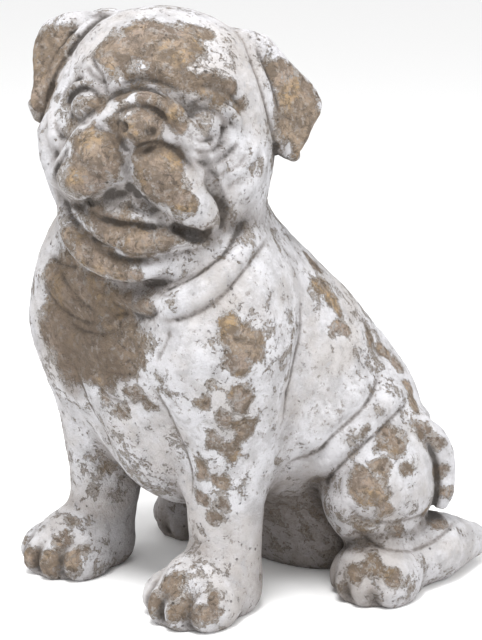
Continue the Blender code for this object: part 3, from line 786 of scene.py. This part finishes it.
# Where it is darkened brown: partly real stains on the throat and chest, partly painted shade there, in the
# mouth and its corner, beside the left flew, under the belly, between the legs and on the hind paw in
# shadow.
STAIN_AND_SHADE_SEEN = (
    (80, 350, 26, 1), (110, 366, 18, 1), (60, 320, 18, 0.8), (95, 330, 18, 0.9), (70, 380, 16, 0.8),
    (60, 292, 17, 0.8), (100, 300, 15, 0.8), (130, 298, 12, 0.8), (120, 287, 11, 1), (90, 284, 11, 0.9),
    (150, 281, 9, 0.5), (125, 190, 6, 1), (117, 194, 5, 1), (140, 202, 5, 0.8), (222, 206, 7, 0.8),
    (229, 220, 7, 0.6), (206, 233, 6, 1), (310, 520, 22, 1), (300, 545, 18, 1), (285, 500, 13, 1),
    (330, 540, 13, 1), (320, 500, 15, 0.8), (165, 520, 18, 0.8), (150, 535, 15, 0.8), (176, 540, 13, 0.9),
    (100, 460, 13, 0.4), (126, 480, 11, 0.5), (130, 520, 7, 0.5), (290, 490, 10, 0.5), (278, 120, 5, 0.6),
    (280, 150, 6, 0.7), (42, 60, 16, 0.35), (345, 470, 6, 0.5), (344, 522, 5, 0.6), (346, 536, 5, 0.6),
    (300, 120, 14, 0.3), (110, 225, 10, 0.3),
)
# Where it is blackened as painted shade: the nostrils, the parted lips, the mouth's corners and the deepest
# creases beside the flew, at the brow and under the left ear.
BLACK_SHADE_SEEN = (
    (120, 122, 2.6, 1), (150, 131, 3, 1), (131, 187, 4, 1), (123, 192, 3.2, 1), (138, 193, 3.6, 1),
    (146, 198, 2.4, 0.8), (115, 196, 2.2, 0.7), (206, 232, 3.6, 1), (198, 232, 2.4, 0.8),
    (66, 204, 2.2, 0.6), (222, 205, 2.4, 0.6), (104, 81, 1.8, 0.7), (276, 146, 3, 0.7),
    (282, 158, 3, 0.6),
)
# Spots on the sides that the photograph doesn't show: middle and reach in millimetres, and strength.
BARE_BEHIND = (
    ((-70, 40, 120), 27, 0.8), ((-58, 60, 168), 20, 0.9), ((0, 112, 120), 27, 0.9),
    ((-86, -40, 186), 20, 0.8), ((-30, 30, 216), 19, 0.8), ((-60, 96, 70), 27, 0.9),
    ((-96, -40, 120), 17, 0.8), ((10, 70, 190), 17, 0.9), ((-60, -40, 280), 17, 0.7),
    ((30, 4, 262), 14, 0.6), ((-10, 20, 330), 20, 0.7), ((-84, -52, 60), 14, 0.8),
    ((-70, 60, 20), 12, 0.7), ((60, 100, 60), 14, 0.8), ((-14, 0, 366), 11, 0.6),
)
# Brown stains and painted shade on the hidden sides, and painted shade under the body near the ground.
STAIN_AND_SHADE_BEHIND = (
    ((20, 10, 20), 62, 1.0), ((-40, 0, 30), 60, 0.8), ((0, 90, 60), 60, 0.4), ((-60, 60, 60), 44, 0.4),
    ((-86, -40, 186), 24, 0.4), ((-58, 60, 168), 24, 0.4),
)


EDGE_RAGGEDNESS, EDGE_GRAIN = 5.0, 11      # of a spot's edge, in millimetres
BLACK_RAGGEDNESS = 0.6
SPOT_EDGE = 1.85                           # where a spot ends, in its own reaches


def spread(points, spots, raggedness=EDGE_RAGGEDNESS):
    """How much of a list of spots reaches each point, from 0 to 1, with ragged edges."""
    ragged = points + raggedness * np.column_stack([Grain(40 + i)(points, EDGE_GRAIN) for i in range(3)])
    total = np.zeros(len(points))
    for middle, reach, strength in spots:
        gap = np.linalg.norm(ragged - np.array(middle, float), axis=1) / reach
        total = np.maximum(total, strength * np.clip(SPOT_EDGE - gap, 0, 1))
    return total


def seen_spots(clay, spots):
    """Spots given by pixel, as spots on the figure."""
    middles = seen(clay, [spot[:2] for spot in spots])
    return tuple((middle, reach * PIXEL, strength)
                 for middle, (_, _, reach, strength) in zip(middles, spots))


def store(mesh, name, values):
    layer = mesh.attributes.new(name, "FLOAT", "POINT")
    layer.data.foreach_set("value", np.clip(values, 0, 1).astype(np.float32))


# How far from the surface a hollow is felt, in millimetres, and how much dirt and painted shade it then
# gets.
HOLLOW_REACHES = ((2.5, 0.45), (5.0, 0.6), (10.0, 0.55))
OPEN_SURFACE = 0.94            # the slope of the depth over open, level stone
LINE_WIDTH = 1.2               # of the dirt and painted shade along a groove's bottom
LEVEL_BEND = 0.055             # the bend that gets no dirt or painted shade yet
GROUND_SHADE_HEIGHT = 50             # up to where the painted shade near the ground reaches

# How much of the whitewash is gone where no spot lies, and what a bare and a thick spot change.
WORN_ALL_OVER, WORN_IN_SPOTS, KEPT_IN_SPOTS = 0.54, 0.46, 0.4

# How much darkening each cause gives: dirt and painted shade in hollows, bends and grooves, painted shade in
# the blackened openings and low down.
HOLLOW_DIRT_AND_SHADE, BEND_DIRT_AND_SHADE, GROOVE_DIRT_AND_SHADE, BLACK_SHADE, GROUND_SHADE = 0.95, 2.6, 0.75, 1.3, 0.25


def bend(mesh, points, facing):
    """How far each point lies behind the middle of its neighbours, in millimetres, evened out a little."""
    a, b, count = neighbours(mesh)
    middle = np.column_stack([around(points[:, i], a, b, count) for i in range(3)])
    sunk = ((middle - points) * facing).sum(1)
    return 0.4 * sunk + 0.6 * around(sunk, a, b, count)


def in_grooves(points, clay):
    """How near each point is to the bottom of a groove, from 0 to 1, and less in a shallow one."""
    grooves = [mark for mark in clay.marks if mark.depth > 0]
    bottoms = clay.settle(np.vstack([mark.path for mark in grooves]), 8)
    ends = np.cumsum([len(mark.path) for mark in grooves])
    near_bottom = np.zeros(len(points))
    for mark, bottom in zip(grooves, np.split(bottoms, ends[:-1])):
        near = Clay.near(points, mark, 0)
        gap, where = along(points[near], bottom)
        fade = np.clip(np.minimum(where, 1 - where) * 4, 0, 1) * np.clip(mark.depth / 7, 0.25, 1)
        near_bottom[near] = np.maximum(near_bottom[near], fade * np.exp(-(gap / LINE_WIDTH) ** 2))
    return near_bottom


def mark_wear_and_shade(obj, clay):
    """Stores, at each vertex, how bare, how dirty and darkened with painted shade, how brown with stains and
    painted shade, and how rubbed the surface is.
    """
    points, facing = to_figure(coordinates(obj.data)), normals(obj.data)
    bare = spread(points, BARE_BEHIND + seen_spots(clay, BARE_SEEN))
    thick = spread(points, seen_spots(clay, WHITE_SEEN))
    stain_and_shade = spread(points, STAIN_AND_SHADE_BEHIND + seen_spots(clay, STAIN_AND_SHADE_SEEN))
    blackened_shade = spread(points, seen_spots(clay, BLACK_SHADE_SEEN), BLACK_RAGGEDNESS)
    # Dirt and painted shade in hollows: darker where the figure closes in round a point, as shade would fall
    # there.
    here = clay.depth(points)
    hollow = sum(share * np.clip(OPEN_SURFACE - (clay.depth(points + reach * facing) - here) / reach, 0, 1)
                 for reach, share in HOLLOW_REACHES)
    sunk = bend(obj.data, points, facing)
    # Painted shade low down near the ground, most on faces that look down.
    low_down_shade = np.clip(1 - points[:, 2] / GROUND_SHADE_HEIGHT, 0, 1) * np.clip(0.4 - facing[:, 2], 0, 1)
    grime_and_shade = (HOLLOW_DIRT_AND_SHADE * hollow + BEND_DIRT_AND_SHADE * np.clip(sunk - LEVEL_BEND, 0, 1)
             + GROOVE_DIRT_AND_SHADE * in_grooves(points, clay) + BLACK_SHADE * blackened_shade + GROUND_SHADE * low_down_shade)
    store(obj.data, "bare", WORN_ALL_OVER + WORN_IN_SPOTS * bare - KEPT_IN_SPOTS * thick)
    store(obj.data, "stain_and_shade", stain_and_shade)
    store(obj.data, "grime_and_shade", grime_and_shade)
    store(obj.data, "rubbed", 3.0 * np.clip(-sunk - 0.05, 0, 1))


class Graph:
    """A material's node tree, built one call to a node."""

    def __init__(self, name):
        self.material = bpy.data.materials.new(name)
        self.material.use_nodes = True
        self.tree = self.material.node_tree
        self.shader = self.tree.nodes["Principled BSDF"]

    def connect(self, socket, value):
        if isinstance(value, bpy.types.NodeSocket):
            self.tree.links.new(value, socket)
        else:
            socket.default_value = value

    def node(self, kind, inputs=None, output=0, **settings):
        made = self.tree.nodes.new(kind)
        for name, value in settings.items():
            setattr(made, name, value)
        for name, value in (inputs or {}).items():
            self.connect(made.inputs[name], value)
        return made.outputs[output]

    def value(self, operation, *numbers, clamp=False):
        return self.node("ShaderNodeMath", dict(enumerate(numbers)), operation=operation, use_clamp=clamp)

    def scaled(self, value, by):
        return self.value("MULTIPLY", value, by)

    def total(self, first, *others):
        for other in others:
            first = self.value("ADD", first, other)
        return first

    def mix(self, share, a, b):
        made = self.tree.nodes.new("ShaderNodeMix")
        made.data_type, made.clamp_factor = "RGBA", True
        self.connect(made.inputs[0], share)
        self.connect(made.inputs[6], a)
        self.connect(made.inputs[7], b)
        return made.outputs[2]

    def step(self, value, low, high):
        """0 below low, 1 above high, and a smooth slope between."""
        return self.node("ShaderNodeMapRange", {"Value": value, "From Min": low, "From Max": high},
                         interpolation_type="SMOOTHSTEP")

    def noise(self, place, scale, detail=4.0, roughness=0.6, distortion=0.0):
        return self.node("ShaderNodeTexNoise", {"Vector": place, "Scale": scale, "Detail": detail,
                                                "Roughness": roughness, "Distortion": distortion})

    def attribute(self, name):
        return self.node("ShaderNodeAttribute", output=2, attribute_name=name)


# Colours, linear.
# Dark stone, also used for the painted shadow along the thick coat's rim.
STONE_DARK_AND_RIM_SHADE = (0.125, 0.098, 0.076, 1)
STONE_BROWN = (0.205, 0.155, 0.112, 1)
STONE_TAN = (0.305, 0.236, 0.174, 1)
STONE_PINK = (0.365, 0.290, 0.242, 1)
STONE_OCHRE = (0.400, 0.282, 0.160, 1)
WASH_THIN = (0.370, 0.345, 0.325, 1)
WASH_GREY = (0.440, 0.430, 0.440, 1)
WASH_WHITE = (0.600, 0.595, 0.618, 1)
WASH_BEIGE = (0.430, 0.385, 0.345, 1)
# Darkest colour: of pores, pits, dirt and painted shade.
GRIME_AND_SHADE_DARK = (0.040, 0.032, 0.026, 1)
# Brown of stains, dirt and painted shade in creases.
STAIN_AND_SHADE_BROWN = (0.125, 0.094, 0.070, 1)


# Where the whitewash's ragged field has the thin coat, the painted shadow along the rim of the thick one,
# and the thick coat.
THIN_COAT, COAT_RIM_SHADE, THICK_COAT = (-0.050, -0.015), (0.002, 0.020), (0.022, 0.034)


def coats(g, broad, small, fine):
    """How far the thin and the thick coat cover, and the painted shadow along the thick one's broken rim."""
    frayed = g.value("SUBTRACT", fine, 0.5)
    field = g.total(g.scaled(broad, 0.45), g.scaled(small, 0.55), g.scaled(frayed, 0.20))
    worn = g.total(g.scaled(g.attribute("bare"), 0.44), g.scaled(g.attribute("rubbed"), 0.05), 0.182)
    above = g.value("SUBTRACT", field, worn)
    thick = g.step(above, *THICK_COAT)
    rim = g.value("MULTIPLY", g.step(above, *COAT_RIM_SHADE), g.value("SUBTRACT", 1.0, thick))
    return g.step(above, *THIN_COAT), thick, rim


def stone_colour(g, place, broad, small):
    """Tan stone with pink, ochre and brown clouds, dark pores, and flecks of old whitewash."""
    colour = g.mix(g.step(broad, 0.38, 0.62), STONE_TAN, STONE_PINK)
    colour = g.mix(g.step(g.noise(place, 44, 5, 0.6), 0.50, 0.64), colour, STONE_OCHRE)
    clouds = g.step(g.noise(place, 24, 7, 0.7), 0.48, 0.60)
    colour = g.mix(g.scaled(clouds, 0.75), colour, STONE_BROWN)
    colour = g.mix(g.scaled(g.step(small, 0.60, 0.41), 0.85), colour, STONE_DARK_AND_RIM_SHADE)
    pores = g.step(g.noise(place, 170, 7, 0.75, 1.2), 0.47, 0.41)
    colour = g.mix(g.scaled(pores, 0.55), colour, GRIME_AND_SHADE_DARK)
    flecks = g.step(g.noise(place, 210, 8, 0.75), 0.52, 0.62)
    return g.mix(g.scaled(flecks, 0.60), colour, WASH_THIN)


def wash_colour(g, place, small):
    """Chalky white with grey and beige clouds."""
    colour = g.mix(g.step(g.noise(place, 55, 7, 0.7), 0.38, 0.60), WASH_GREY, WASH_WHITE)
    clouds = g.step(g.noise(place, 16, 6, 0.65), 0.44, 0.64)
    colour = g.mix(g.scaled(clouds, 0.45), colour, WASH_BEIGE)
    return g.mix(g.step(small, 0.47, 0.36), colour, WASH_GREY)


def dirtied_and_shaded(g, colour, small, fine):
    """The colour under brown stains and painted shade, then made dirty and darker with painted shade in
    creases and hollows.
    """
    stain_and_shade_share = g.value("MULTIPLY", g.attribute("stain_and_shade"), g.total(0.25, small))
    colour = g.mix(stain_and_shade_share, colour, g.mix(0.85, colour, STAIN_AND_SHADE_BROWN))
    # Dirt and painted shade from the stored darkening, broken up by noise.
    patchy = g.total(g.scaled(small, 1.5), g.scaled(g.value("SUBTRACT", fine, 0.5), 0.8))
    dirt_and_shade = g.value("MULTIPLY", g.attribute("grime_and_shade"), g.total(0.20, patchy), clamp=True)
    colour = g.mix(g.step(dirt_and_shade, 0.04, 0.40), colour, g.mix(0.45, colour, STAIN_AND_SHADE_BROWN))
    return g.mix(g.scaled(g.step(dirt_and_shade, 0.24, 0.90), 0.82), colour, GRIME_AND_SHADE_DARK)


def relief(g, place, thin, thick, small, fine, pit):
    """The coats' thickness, the stone's grain, brush strokes where it is bare, and pits."""
    sand = g.noise(place, 1700, 3, 0.6)
    upright = g.node("ShaderNodeMapping", {"Vector": place, "Scale": (1.0, 1.0, 0.22)})
    strokes = g.value("MULTIPLY", g.noise(upright, 620, 4, 0.6, 0.4), g.scaled(g.attribute("bare"), 0.45))
    height = g.total(g.scaled(thin, 0.25), g.scaled(thick, 0.55), g.scaled(small, 1.8), g.scaled(fine, 0.80),
                     g.scaled(sand, 0.28), strokes)
    height = g.value("SUBTRACT", height, g.scaled(pit, 0.9))
    return g.node("ShaderNodeBump", {"Height": height, "Distance": 0.0015, "Strength": 1.0})


def whitewashed_stone():
    """Stone that shows where two coats of whitewash have flaked off, dirty and with painted shade in its
    hollows, and with a painted shadow along the flaked rims.
    """
    g = Graph("weathered stone")
    place = g.node("ShaderNodeTexCoord", output=3)
    broad = g.noise(place, 30, 9, 0.68, 0.6)
    small = g.noise(place, 110, 8, 0.72, 0.5)
    fine = g.noise(place, 520, 5, 0.68)
    thin, thick, rim = coats(g, broad, small, fine)
    dusty = g.value("MULTIPLY", thin, g.step(fine, 0.30, 0.55))
    colour = g.mix(dusty, stone_colour(g, place, broad, small), WASH_THIN)
    colour = g.mix(thick, colour, wash_colour(g, place, small))
    # A painted shadow along the thick coat's broken rim.
    colour = g.mix(g.scaled(rim, 0.45), colour, STONE_DARK_AND_RIM_SHADE)
    scratches = g.step(g.noise(place, 240, 6, 0.75), 0.555, 0.60)
    scuffed = g.value("MULTIPLY", scratches, g.step(broad, 0.62, 0.44))
    colour = g.mix(g.scaled(scuffed, 0.75), colour, g.mix(0.6, WASH_THIN, STONE_DARK_AND_RIM_SHADE))
    pits = g.node("ShaderNodeTexVoronoi", {"Vector": place, "Scale": 190.0}, output=0)
    pit = g.value("MULTIPLY", g.step(pits, 0.24, 0.08), g.step(g.noise(place, 60, 5, 0.7), 0.56, 0.62))
    colour = g.mix(g.scaled(pit, 0.70), dirtied_and_shaded(g, colour, small, fine), GRIME_AND_SHADE_DARK)

    g.connect(g.shader.inputs["Base Color"], colour)
    g.connect(g.shader.inputs["Roughness"], g.total(0.80, g.scaled(fine, 0.15)))
    g.connect(g.shader.inputs["Normal"], relief(g, place, thin, thick, small, fine, pit))
    g.shader.inputs["Specular IOR Level"].default_value = 0.25
    return g.material


# The studio: half the floor's side in metres, its paint, and the even light all round.
FLOOR_HALF = 6.0
FLOOR_PAINT, FLOOR_ROUGHNESS = (0.97, 0.97, 0.97, 1), 0.9
ROOM_LIGHT = 0.92


def floor():
    mesh = bpy.data.meshes.new("floor")
    corners = [(x * FLOOR_HALF, y * FLOOR_HALF, 0) for x, y in ((-1, -1), (1, -1), (1, 1), (-1, 1))]
    mesh.from_pydata(corners, [], [(0, 1, 2, 3)])
    obj = bpy.data.objects.new("floor", mesh)
    bpy.context.scene.collection.objects.link(obj)
    pale = bpy.data.materials.new("pale floor")
    pale.use_nodes = True
    pale.node_tree.nodes["Principled BSDF"].inputs["Base Color"].default_value = FLOOR_PAINT
    pale.node_tree.nodes["Principled BSDF"].inputs["Roughness"].default_value = FLOOR_ROUGHNESS
    mesh.materials.append(pale)


def softbox(name, place, size, power, aim=(0.0, 0.0, 0.18)):
    light = bpy.data.objects.new(name, bpy.data.lights.new(name, "AREA"))
    light.data.size, light.data.energy = size, power
    light.location = place
    light.rotation_euler = (Vector(aim) - Vector(place)).to_track_quat("-Z", "Y").to_euler()
    bpy.context.scene.collection.objects.link(light)


def studio():
    softbox("overhead", (0.3, -0.5, 1.7), 0.6, 28)
    softbox("front left", (-1.5, -1.7, 1.1), 1.0, 9)
    softbox("right", (1.9, 0.1, 1.4), 0.7, 12)
    world = bpy.data.worlds.new("studio")
    world.use_nodes = True
    world.node_tree.nodes["Background"].inputs["Color"].default_value = (1, 1, 1, 1)
    world.node_tree.nodes["Background"].inputs["Strength"].default_value = ROOM_LIGHT
    bpy.context.scene.world = world
    bpy.context.scene.view_settings.view_transform = "Standard"


def camera():
    back = towards_camera()
    obj = bpy.data.objects.new("camera", bpy.data.cameras.new("camera"))
    obj.data.lens, obj.data.sensor_width, obj.data.sensor_fit = FOCAL, SENSOR, "AUTO"
    obj.location = AIM + DISTANCE * back
    obj.rotation_euler = (-back).to_track_quat("-Z", "Y").to_euler()
    bpy.context.scene.collection.objects.link(obj)
    bpy.context.scene.camera = obj


def main():
    clay = model()
    pug = surface(clay)
    mark_wear_and_shade(pug, clay)
    pug.data.materials.clear()
    pug.data.materials.append(whitewashed_stone())
    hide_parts("pug_statue")
    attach(pug, "root")
    floor()
    studio()
    camera()


main()
